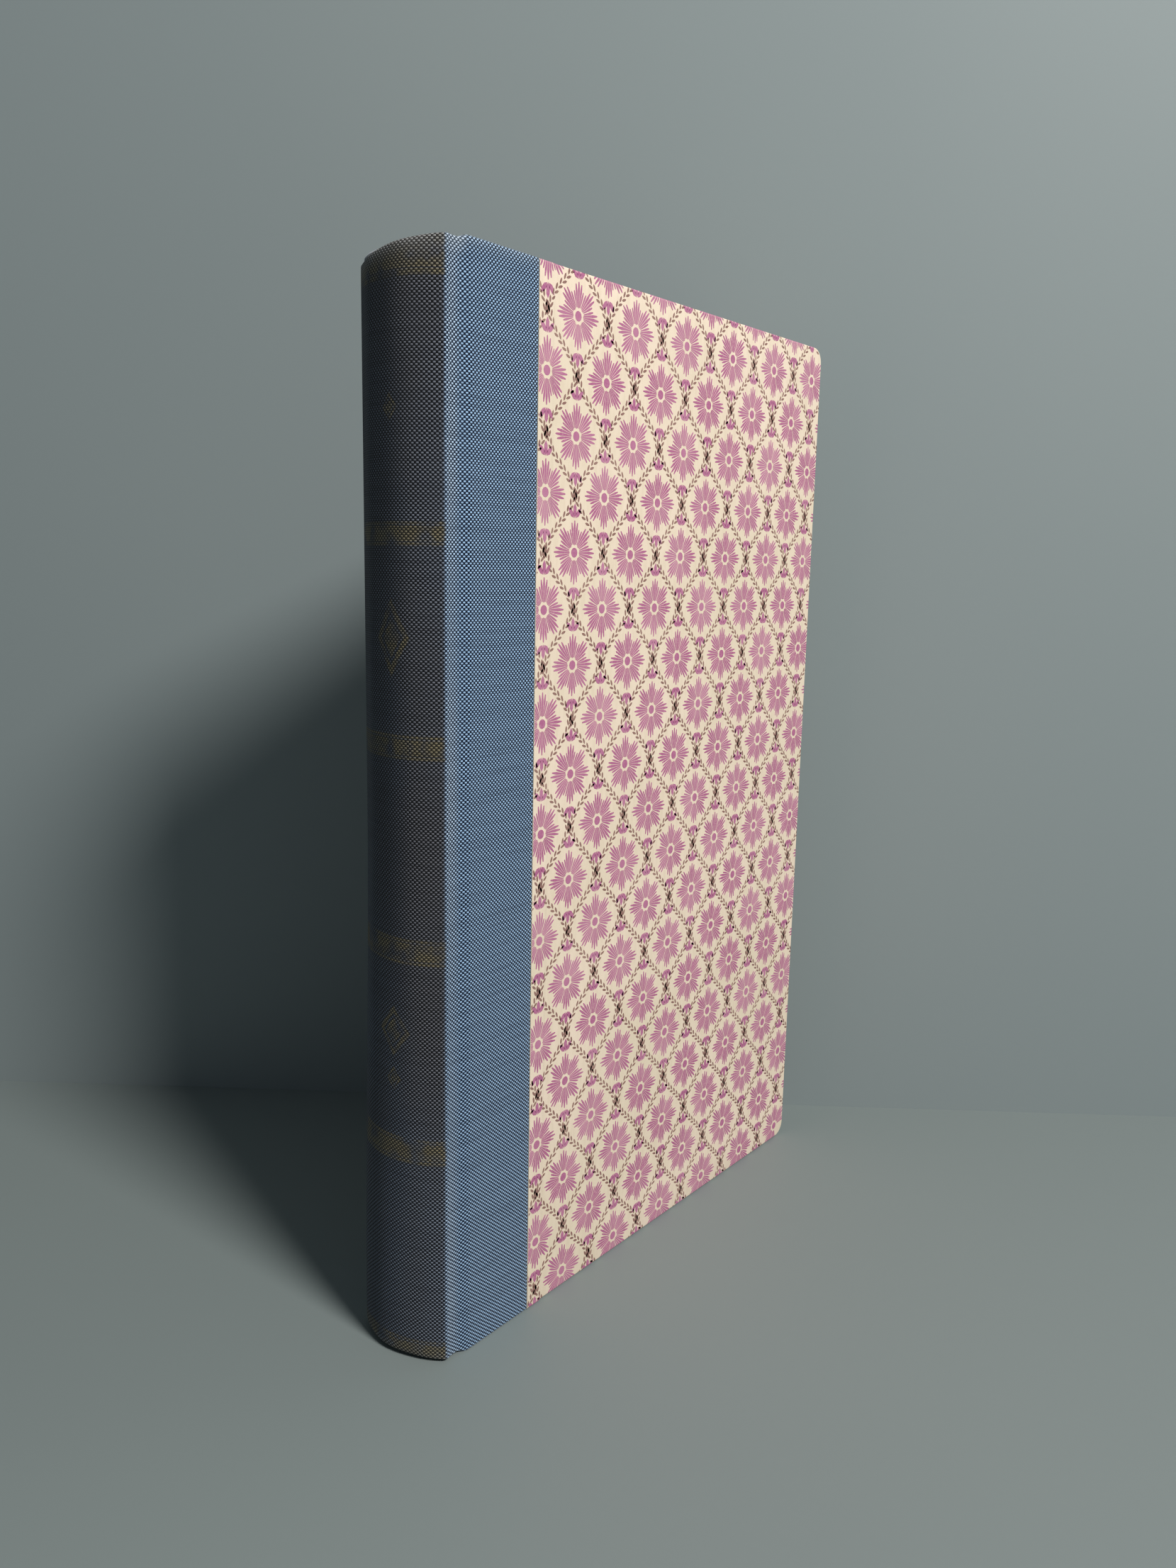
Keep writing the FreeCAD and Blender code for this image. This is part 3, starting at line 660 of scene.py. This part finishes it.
trellis = {
    "width": 20.0, "pitch": 24.0, "swing": 4.3, "startX": -46.2, "startZ": 4.0,
    "dashPitch": 1.75, "dashLength": 1.6, "dashWidth": 0.58, "dashLean": 24.0, "strand": 0.4,
    "tie": (3.0, 1.6), "above": 0.022, "below": 0.03, "insideMargin": 3.9,
}
flower = {
    "eye": 1.05, "petals": 8, "petalFoot": 1.55, "petalReach": 6.8, "strokes": 5, "strokeTurn": 8.6,
    "sprigHeight": 6.9, "sprigReach": 1.85, "leaves": {-40: 2.7, 0: 3.1, 40: 2.7}, "leafWidth": 1.15,
}


def lens(length, width):
    return np.array([(-0.5 * length, 0), (-0.22 * length, -0.46 * width), (0.22 * length, -0.46 * width),
                     (0.5 * length, 0), (0.22 * length, 0.46 * width), (-0.22 * length, 0.46 * width)])


def placed(shape, centre, angle):
    c, s = math.cos(angle), math.sin(angle)
    return shape @ np.array([[c, s], [-s, c]]) + centre


def repeats(low, high, start, pitch, more=1):        # numbers of the repeats that reach into this span
    return range(math.floor((low - start) / pitch) - 1, math.ceil((high - start) / pitch) + more)


def cordDashes(lowX, highX, lowZ, highZ):
    t = trellis
    half = t["width"] / 2
    shapes = []
    for k in repeats(lowX, highX, t["startX"], half, 2):
        sign = -1 if k % 2 else 1
        z = np.linspace(lowZ - 3, highZ + 3, 3000)
        phase = 2 * math.pi * (z - t["startZ"]) / t["pitch"]
        x = t["startX"] + k * half + sign * t["swing"] * np.cos(phase)
        lengths = np.concatenate([[0], np.cumsum(np.hypot(np.diff(x), np.diff(z)))])
        for n, at in enumerate(np.arange(0.5, lengths[-1] - 0.5, t["dashPitch"] / 2)):
            strand = 1 if n % 2 else -1
            cx, cz = np.interp(at, lengths, x), np.interp(at, lengths, z)
            ahead = np.interp(at + 0.2, lengths, x) - cx, np.interp(at + 0.2, lengths, z) - cz
            heading = math.atan2(ahead[1], ahead[0])
            offset = strand * t["strand"] * np.array([-math.sin(heading), math.cos(heading)])
            dash = lens(t["dashLength"], t["dashWidth"])
            lean = strand * math.radians(t["dashLean"])
            shapes.append(placed(dash, np.array([cx, cz]) + offset, heading + lean))
        # a small lozenge ties two cords together where they come close
        for n in repeats(lowZ, highZ, t["startZ"], t["pitch"]):
            tieZ = t["startZ"] + (n + (0 if sign > 0 else 0.5)) * t["pitch"]
            middle = np.array([t["startX"] + (k + 0.5) * half, tieZ])
            shapes.append(placed(lens(*t["tie"]), middle, math.pi / 2))
    return shapes


def rosette(centre):
    f = flower
    shapes = [arc(centre, f["eye"], 0, 330, 12)]
    for petal in range(f["petals"]):
        for j in range(f["strokes"]):
            side = j - (f["strokes"] - 1) / 2
            heading = math.radians(petal * 360 / f["petals"] + 90 + side * f["strokeTurn"])
            near, far = f["petalFoot"] + 0.12 * abs(side), f["petalReach"] - 0.42 * side ** 2
            wide = near + (far - near) * 0.68
            half = wide * math.radians(f["strokeTurn"]) / 2 - 0.065
            below = [(near, -0.09), (wide, -half), (far - 0.18, -0.16)]
            stroke = np.array(below + [(far, 0.0)] + [(s, -w) for s, w in below[::-1]])
            shapes.append(placed(stroke, np.array(centre), heading))
    for upward in (1, -1):        # a sprig of three leaves above and below
        for turn, length in f["leaves"].items():
            heading = math.radians(90 * upward + turn)
            out = f["sprigReach"] * np.array([math.cos(heading), math.sin(heading)])
            middle = np.array(centre) + (0, upward * f["sprigHeight"]) + out
            shapes.append(placed(lens(length, f["leafWidth"]), middle, heading))
    return shapes


def rosettes(lowX, highX, lowZ, highZ):
    t = trellis
    half = t["width"] / 2
    shapes = []
    for k in repeats(lowX, highX, t["startX"], half):
        x, shift = t["startX"] + (k + 0.5) * half, 0.5 if k % 2 == 0 else 0
        for n in repeats(lowZ, highZ, t["startZ"], t["pitch"]):
            shapes += rosette((x, t["startZ"] + (n + shift) * t["pitch"]))
    return shapes


def makePrint(side, name, drawn):
    p, t = sidePaper, trellis
    facing = sides[side]
    edgeX, lowZ = p["foreX"] - p["bend"], p["tailZ"] + p["bend"]
    highZ = height - lowZ
    radius = p["corner"] - p["bend"]
    quarter, straight = paperPath(p["face"] - p["inside"])
    past = 2 * quarter + straight + t["insideMargin"]
    shapes = []
    for shape in drawn(paperX, edgeX + past, lowZ - past, highZ + past):
        s, z = shape[:, 0], shape[:, 1]
        if s.max() < paperX or s.min() > edgeX + past or z.max() < lowZ - past or z.min() > highZ + past:
            continue
        # nothing is printed past the round of a corner
        beyond = np.maximum(lowZ + radius - z, z - (highZ - radius))
        corner = (s > edgeX - radius) & (beyond > 0)
        if np.any(corner & (np.hypot(s - (edgeX - radius), beyond) > radius)):
            continue
        shapes.append(shape)
    work = bmesh.new()
    for shape in shapes:
        work.faces.new([work.verts.new((s, z, 0)) for s, z in shape])
    second = quarter + straight
    bends = [0, quarter / 3, quarter * 2 / 3, quarter]
    bends += [second, second + quarter / 3, second + quarter * 2 / 3, 2 * quarter + straight]
    cuts = [((lapX + d, 0, 0), (1, 0, 0), False) for d in p["lapSteps"]]
    cuts += [((edgeX + d, 0, 0), (1, 0, 0), False) for d in bends]
    cuts += [((0, highZ + d, 0), (0, 1, 0), False) for d in bends]
    cuts += [((0, lowZ - d, 0), (0, -1, 0), False) for d in bends]
    cuts += [((paperX + 0.12, 0, 0), (-1, 0, 0), True), ((edgeX + past, 0, 0), (1, 0, 0), True),
             ((0, highZ + past, 0), (0, 1, 0), True), ((0, lowZ - past, 0), (0, -1, 0), True)]
    for point, normal, clear in cuts:
        everything = work.verts[:] + work.edges[:] + work.faces[:]
        bmesh.ops.bisect_plane(work, geom=everything, plane_co=point, plane_no=normal, clear_outer=clear,
                               dist=1e-5)
    work.normal_update()
    for f in work.faces:
        if f.normal.z < 0:
            f.normal_flip()
    work.verts.index_update()
    flat = np.array([v.co for v in work.verts])
    tops = [[v.index for v in f.verts] for f in work.faces]
    rims = [e.link_loops[0] for e in work.edges if len(e.link_faces) == 1]
    walls = [(loop.vert.index, loop.link_loop_next.vert.index) for loop in rims]
    work.free()
    layers = []
    for lift in (t["above"], -t["below"]):
        pastX, pastHigh, pastLow = flat[:, 0] - edgeX, flat[:, 1] - highZ, lowZ - flat[:, 1]
        x = np.minimum(flat[:, 0], edgeX)
        face = paperFace(x)
        depth = face - paperInside(x)
        turned = np.maximum.reduce([pastX, pastHigh, pastLow])
        out, drop = overEdge(np.maximum(turned, 0), depth, lift)
        z = np.clip(flat[:, 1], lowZ, highZ)
        over = turned > 0
        x = np.where(over & (turned == pastX), edgeX + out, x)
        z = np.where(over & (turned == pastLow), lowZ - out, z)
        z = np.where(over & (turned == pastHigh), highZ + out, z)
        layers.append(np.column_stack([x, (face - drop) * facing, z]))
    below = len(flat)
    faces = tops + [[below + i for i in f[::-1]] for f in tops]
    faces += [(below + a, below + b, b, a) for a, b in walls]
    if facing > 0:
        faces = [f[::-1] for f in faces]
    return makeMesh(side + name, np.concatenate(layers), faces, smooth=False)


def makePaperMaterial():
    m = Material("paperCream", roughness=0.78, specular=0.25)
    fibre = m.noise(900, 3, m.stretched(1, 1, 0.25))
    mottled = m.mix(m.step(m.noise(26, 4), 0.3, 0.7), tone(228, 212, 188), tone(236, 217, 196))
    m.colour(m.mix(m.step(fibre, 0.35, 0.75, 0, 0.35), mottled, tone(214, 196, 170)))
    m.bump(fibre, 0.02, 0.35)
    return m


def makeInk(name, full, thin):
    m = Material(name, roughness=0.7, specular=0.25)
    patchy = m.step(m.noise(70, 4), 0.32, 0.7)
    speckled = m.math("MULTIPLY", m.step(m.noise(1500, 3, roughness=0.7), 0.42, 0.68), 0.55)
    m.colour(m.mix(m.math("MAXIMUM", m.math("MULTIPLY", patchy, 0.6), speckled), full, thin))
    return m


# pages, endpapers and bands

pages = {
    "leaves": 150, "headJitter": 0.035, "foreJitter": 0.06, "gathering": 8, "gatheringJitter": 0.05,
    "backRadius": 16.25, "foreHollow": 3.0, "shoulderY": 10.35, "blockY": 9.25, "shoulderRun": 0.9,
    "foreX": pagesHigh[0], "tailZ": pagesLow[2], "topZ": pagesHigh[2],
    "upright": 8,        # points up each side of a leaf
}


def makePages():
    g = pages
    rng = np.random.default_rng(11)
    count, upright = g["leaves"], g["upright"]
    edges = np.linspace(-g["blockY"], g["blockY"], count + 1)
    hollowRadius = (g["blockY"] ** 2 + g["foreHollow"] ** 2) / (2 * g["foreHollow"])
    loops = []
    nearSpine = np.array([0.0, 0.12, 0.27, 0.42, 0.57, 0.72, 0.9])
    for leaf in range(count):
        group = np.random.default_rng(100 + leaf // g["gathering"]).normal(0, g["gatheringJitter"], 2)
        head, tail = rng.normal(0, g["headJitter"], 2)
        fore = rng.normal(0, g["foreJitter"]) + group[0]
        middle = (edges[leaf] + edges[leaf + 1]) / 2
        fanned = middle * g["shoulderY"] / g["blockY"]
        spineX = roundX - math.sqrt(g["backRadius"] ** 2 - fanned ** 2)
        hollow = hollowRadius - math.sqrt(hollowRadius ** 2 - middle ** 2)
        endX = g["foreX"] - g["foreHollow"] + hollow + fore
        z0, z1 = g["tailZ"] + abs(tail), g["topZ"] - abs(head) - abs(group[1])
        xs = np.concatenate([spineX + nearSpine, np.linspace(spineX + 6, endX, 6)])
        up = np.linspace(z0, z1, upright + 2)[1:-1]
        outline = np.concatenate([
            np.column_stack([xs, np.full(len(xs), z0)]),
            np.column_stack([np.full(upright, endX), up]),
            np.column_stack([xs[::-1], np.full(len(xs), z1)]),
            np.column_stack([np.full(upright, spineX), up[::-1]]),
        ])
        spread = 1 - smoothStep(0, g["shoulderRun"], outline[:, 0] - spineX)
        for y in (edges[leaf], edges[leaf + 1]):
            fannedY = y * (1 + (g["shoulderY"] / g["blockY"] - 1) * spread)
            loops.append(np.column_stack([outline[:, 0], fannedY, outline[:, 1]]))
    around = len(loops[0])
    faces = tubeFaces(len(loops), around)
    across = len(xs)
    # the faces of the two outer leaves, strip by strip
    for base, flip in ((0, False), ((len(loops) - 1) * around, True)):
        tail = list(range(across))
        head = list(range(across + upright, 2 * across + upright))[::-1]
        strips = [[tail[j], tail[j + 1], head[j + 1], head[j]] for j in range(1, across - 2)]
        strips.append([tail[-2], tail[-1], *range(across, across + upright), head[-1], head[-2]])
        strips.append([tail[0], tail[1], head[1], head[0], *range(2 * across + upright, around)])
        faces += [[base + i for i in (s if flip else s[::-1])] for s in strips]
    piece = makeMesh("pageBlock", np.concatenate(loops), faces, smooth=False)
    faceOut(piece)
    return piece


endpaper = {"thickness": 0.13, "rows": 9}


def makeEndpaper(side):
    # one folded sheet: the free leaf on the pages, the fold, and the leaf pasted to the board
    e = endpaper
    freeY, pastedY = leafHigh[1], pasteLow[1]
    foldX = pasteLow[0] - 0.5
    middleY = (freeY + pastedY) / 2
    radius = (pastedY - freeY) / 2 + e["thickness"] / 2
    plan = np.concatenate([
        line((leafHigh[0], freeY - e["thickness"] / 2), (foldX + 0.6, freeY - e["thickness"] / 2), 8),
        arc((foldX, middleY), radius, 270, 90, 11),
        line((foldX + 0.6, pastedY + e["thickness"] / 2), (pasteHigh[0], pastedY + e["thickness"] / 2), 8),
    ])
    ends = np.linspace(0, 1, len(plan))
    low = leafLow[2] + (pasteLow[2] - leafLow[2]) * ends
    high = leafHigh[2] + (pasteHigh[2] - leafHigh[2]) * ends
    share = np.linspace(0, 1, e["rows"])[:, None]
    z = low + (high - low) * share
    points = sheetPoints(plan[:, 0], plan[:, 1] * sides[side], z)
    piece = makeMesh(side + "Endpaper", points.reshape(-1, 3), gridFaces(e["rows"], len(plan)))
    thicken(piece, e["thickness"], 0)
    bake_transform(piece)
    return piece


bead = {
    "reach": 15.8, "radius": 0.83, "ripple": 0.06, "turn": 34.0,
    "threads": 46, "steps": 322, "around": 12,
}


def makeBead(name, z):
    b = bead
    angles = np.radians(np.linspace(180 - b["turn"], 180 + b["turn"], b["steps"] + 1))
    winding = np.linspace(0, b["threads"], b["steps"] + 1)
    radius = b["radius"] + b["ripple"] * np.abs(np.sin(winding * math.pi))
    points, wound = [], []
    for angle, r, w in zip(angles, radius, winding):
        for k in range(b["around"]):
            turn = 2 * math.pi * k / b["around"]
            reach = b["reach"] + r * math.cos(turn)
            points.append((roundX + reach * math.cos(angle), reach * math.sin(angle), z + r * math.sin(turn)))
            wound.append(w)
    n = b["around"]
    faces = tubeFaces(b["steps"] + 1, n)
    faces += [list(range(n))[::-1], [b["steps"] * n + k for k in range(n)]]
    piece = makeMesh(name, points, faces, attributes={"wound": wound})
    faceOut(piece)
    return piece


def makePageMaterial():
    m = Material("pageEdges", roughness=0.85, specular=0.2)
    leafLine = m.noise(1.0, 2, m.stretched(14, 7000, 3))
    age = m.step(m.noise(30, 4), 0.3, 0.75)
    paper = m.mix(age, tone(232, 224, 204), tone(222, 208, 180))
    m.colour(m.mix(m.step(leafLine, 0.3, 0.7), paper, tone(196, 182, 154)))
    m.bump(leafLine, 0.03, 0.5)
    return m


def makeEndpaperMaterial():
    m = Material("endpaperCream", roughness=0.8, specular=0.2)
    fibre = m.noise(700, 3)
    m.colour(m.mix(m.step(fibre, 0.3, 0.8), tone(233, 225, 206), tone(222, 211, 188)))
    m.bump(fibre, 0.02, 0.3)
    return m


def makeThreadMaterial():
    m = Material("woundSilk", roughness=0.5, sheen=0.3, specular=0.4)
    odd = m.math("FLOORED_MODULO", m.math("FLOOR", m.attribute("wound")), 2.0)
    fine = m.noise(2600, 2)
    m.colour(m.mix(fine, m.mix(odd, tone(58, 86, 128), tone(226, 220, 204)), tone(120, 130, 146)))
    m.bump(fine, 0.05, 0.4)
    return m


def makeStockMaterial(name, pale, deep, scale, stretch=(1, 1, 1)):        # board, card, lining and tape
    m = Material(name, roughness=0.85, specular=0.2)
    fibre = m.noise(scale, 4, m.stretched(*stretch), 0.6)
    flecks = m.step(m.noise(scale * 3, 2), 0.62, 0.75)
    body = m.mix(m.step(fibre, 0.3, 0.7), pale, deep)
    m.colour(m.mix(m.math("MULTIPLY", flecks, 0.4), body, tone(96, 88, 78)))
    m.bump(fibre, 0.05, 0.5)
    return m


def makeGauzeMaterial():
    m = Material("openGauze", roughness=0.9, specular=0.15)
    x, y, z = m.place()
    lines = []
    for value in (m.math("ADD", x, y), z):
        wave = m.math("ABSOLUTE", m.math("SINE", m.math("MULTIPLY", value, math.pi / (0.9 * mm))))
        lines.append(m.step(wave, 0.75, 0.9))
    thread = m.math("MAXIMUM", *lines)
    m.colour(m.mix(thread, tone(186, 172, 146), tone(236, 232, 220)))
    m.bump(thread, 0.08, 0.6)
    return m


print("making the cloth")
cloth = makeCaseCloth()
weaveMaterial = makeClothMaterial()
for side, piece in cloth.items():
    weaveMaterial.paint(piece)
    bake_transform(piece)
    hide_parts(side + "_cover_cloth")
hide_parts("spine_cloth")
card = makeSpineCard()
makeStockMaterial("spineCardStock", tone(176, 164, 140), tone(158, 146, 122), 420).paint(card)
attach(card, "book_block")
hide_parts("spine_card")

print("making the side papers and their print")
cream = makePaperMaterial()
mauve = makeInk("inkMauve", tone(172, 98, 136), tone(200, 144, 166))
brown = makeInk("inkBrown", tone(138, 102, 94), tone(170, 138, 126))
for side in sides:
    paper = makeSidePaper(side)
    cream.paint(paper)
    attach(paper, side + "_cover")
    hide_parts(side + "_side_paper")
    for name, drawn, ink in (("Rosettes", rosettes, mauve), ("Trellis", cordDashes, brown)):
        printed = makePrint(side, name, drawn)
        ink.paint(printed)
        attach(printed, side + "_cover")
        print(printed.name, len(printed.data.polygons), "faces")

print("making the pages, endpapers and bands")
pageBlock = makePages()
makePageMaterial().paint(pageBlock)
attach(pageBlock, "book_block")
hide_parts("text_block")
endpaperMaterial = makeEndpaperMaterial()
for side in sides:
    sheet = makeEndpaper(side)
    endpaperMaterial.paint(sheet)
    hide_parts(side + "_pastedown", side + "_free_endpaper")
silk = makeThreadMaterial()
for name, z in (("headBead", beadHigh[2] - 0.8), ("tailBead", height - beadHigh[2] + 0.8)):
    wound = makeBead(name, z)
    silk.paint(wound)
    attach(wound, "book_block")

print("finishing the hidden parts of the binding")
stock = {
    "board": makeStockMaterial("greyboard", tone(148, 140, 128), tone(122, 114, 102), 500),
    "lining_paper": makeStockMaterial("kraftLining", tone(186, 156, 118), tone(168, 136, 98), 380,
                                      (1, 1, 0.3)),
    "band": makeStockMaterial("bandTape", tone(214, 206, 188), tone(196, 186, 166), 800, (1, 1, 0.2)),
    "mull": makeGauzeMaterial(),
}
for row in frame["record"]["subparts"]:
    if row["material_slot"] in stock:
        stock[row["material_slot"]].paint(frame["nodes"][row["node"]])


# floor, wall, light and camera

room = {
    "tone": tone(131, 140, 138), "wallTone": tone(138, 147, 147), "floor": 3.0,
    # the wall stands just behind the fore edge, as it did for the photo
    "wallAngle": 52.84, "wallReach": 0.0705, "wallHalf": 1.5, "wallTop": 2.0,
    "key": (-0.22, -1.0, 0.95), "keyDistance": 1.25, "keySize": 0.32, "keyPower": 17.0,
    "fill": tone(196, 210, 222), "fillStrength": 0.20,
}


def makeStage():
    r = room
    square = np.array([(-1, -1, 0), (1, -1, 0), (1, 1, 0), (-1, 1, 0)])
    floor = makeMesh("floor", square * r["floor"] / 2 / mm, [(0, 1, 2, 3)])
    m = Material("paleFloor", roughness=0.55, specular=0.3)
    m.colour(m.mix(m.step(m.noise(3, 2), 0.3, 0.7), r["tone"], tone(127, 136, 135)))
    m.paint(floor)
    # the wall is seen from the front only, so that it hides nothing from behind
    c, s = math.cos(math.radians(r["wallAngle"])), math.sin(math.radians(r["wallAngle"]))
    away, along = np.array([s, c, 0]), np.array([-c, s, 0]) * r["wallHalf"]
    foot, top = away * r["wallReach"], np.array([0, 0, r["wallTop"]])
    corners = [foot + along, foot - along, foot - along + top, foot + along + top]
    wall = makeMesh("wall", np.array(corners) / mm, [(0, 1, 2, 3)])
    if wall.data.polygons[0].normal.dot(away.tolist()) > 0:
        wall.data.flip_normals()
    m = Material("paleWall", roughness=0.6, specular=0.3)
    m.colour(m.mix(m.step(m.noise(3, 2), 0.3, 0.7), r["wallTone"], tone(134, 144, 145)))
    clear = m.nodes.new("ShaderNodeBsdfTransparent")
    either = m.nodes.new("ShaderNodeMixShader")
    behind = m.nodes.new("ShaderNodeNewGeometry").outputs["Backfacing"]
    m.links.new(behind, either.inputs[0])
    m.links.new(m.surface.outputs[0], either.inputs[1])
    m.links.new(clear.outputs[0], either.inputs[2])
    m.links.new(either.outputs[0], m.nodes["Material Output"].inputs["Surface"])
    m.paint(wall)


def makeLight():
    r = room
    lamp = bpy.data.lights.new("softKey", "AREA")
    lamp.shape = "DISK"
    lamp.size = r["keySize"]
    lamp.energy = r["keyPower"]
    lamp.color = (1.0, 0.985, 0.96)
    key = bpy.data.objects.new("softKey", lamp)
    direction = np.array(r["key"]) / np.linalg.norm(r["key"])
    key.location = direction * r["keyDistance"] + (0, 0, 0.11)
    right = np.cross((0, 0, 1), direction)
    right /= np.linalg.norm(right)
    turned = np.column_stack([right, np.cross(direction, right), direction])
    key.rotation_euler = Matrix(turned.tolist()).to_euler()
    bpy.context.scene.collection.objects.link(key)
    world = bpy.data.worlds.new("room")
    bpy.context.scene.world = world
    world.use_nodes = True
    sky = world.node_tree.nodes["Background"]
    sky.inputs["Color"].default_value = (*r["fill"], 1)
    sky.inputs["Strength"].default_value = r["fillStrength"]


shot = {
    "eye": (-0.232888, -0.178231, 0.168498),
    "yaw": 51.489, "pitch": 10.139, "roll": 1.1695, "lens": 27.518, "sensor": 36.0,
}


def makeCamera():
    yaw, pitch, roll = (math.radians(shot[k]) for k in ("yaw", "pitch", "roll"))
    level = np.array([math.sin(yaw), math.cos(yaw), 0])
    right = np.array([math.cos(yaw), -math.sin(yaw), 0])
    ahead = level * math.cos(pitch) - np.array([0, 0, math.sin(pitch)])
    up = level * math.sin(pitch) + np.array([0, 0, math.cos(pitch)])
    rolledRight = right * math.cos(roll) + up * math.sin(roll)
    rolledUp = up * math.cos(roll) - right * math.sin(roll)
    data = bpy.data.cameras.new("camera")
    data.lens, data.sensor_width, data.sensor_fit = shot["lens"], shot["sensor"], "AUTO"
    data.clip_start, data.clip_end = 0.01, 20
    camera = bpy.data.objects.new("camera", data)
    rotation = Matrix(np.column_stack([rolledRight, rolledUp, -ahead]).tolist())
    camera.matrix_world = Matrix.Translation(shot["eye"]) @ rotation.to_4x4()
    bpy.context.scene.collection.objects.link(camera)
    bpy.context.scene.camera = camera


print("setting the stage")
makeStage()
makeLight()
makeCamera()
bpy.context.scene.view_settings.view_transform = "Standard"
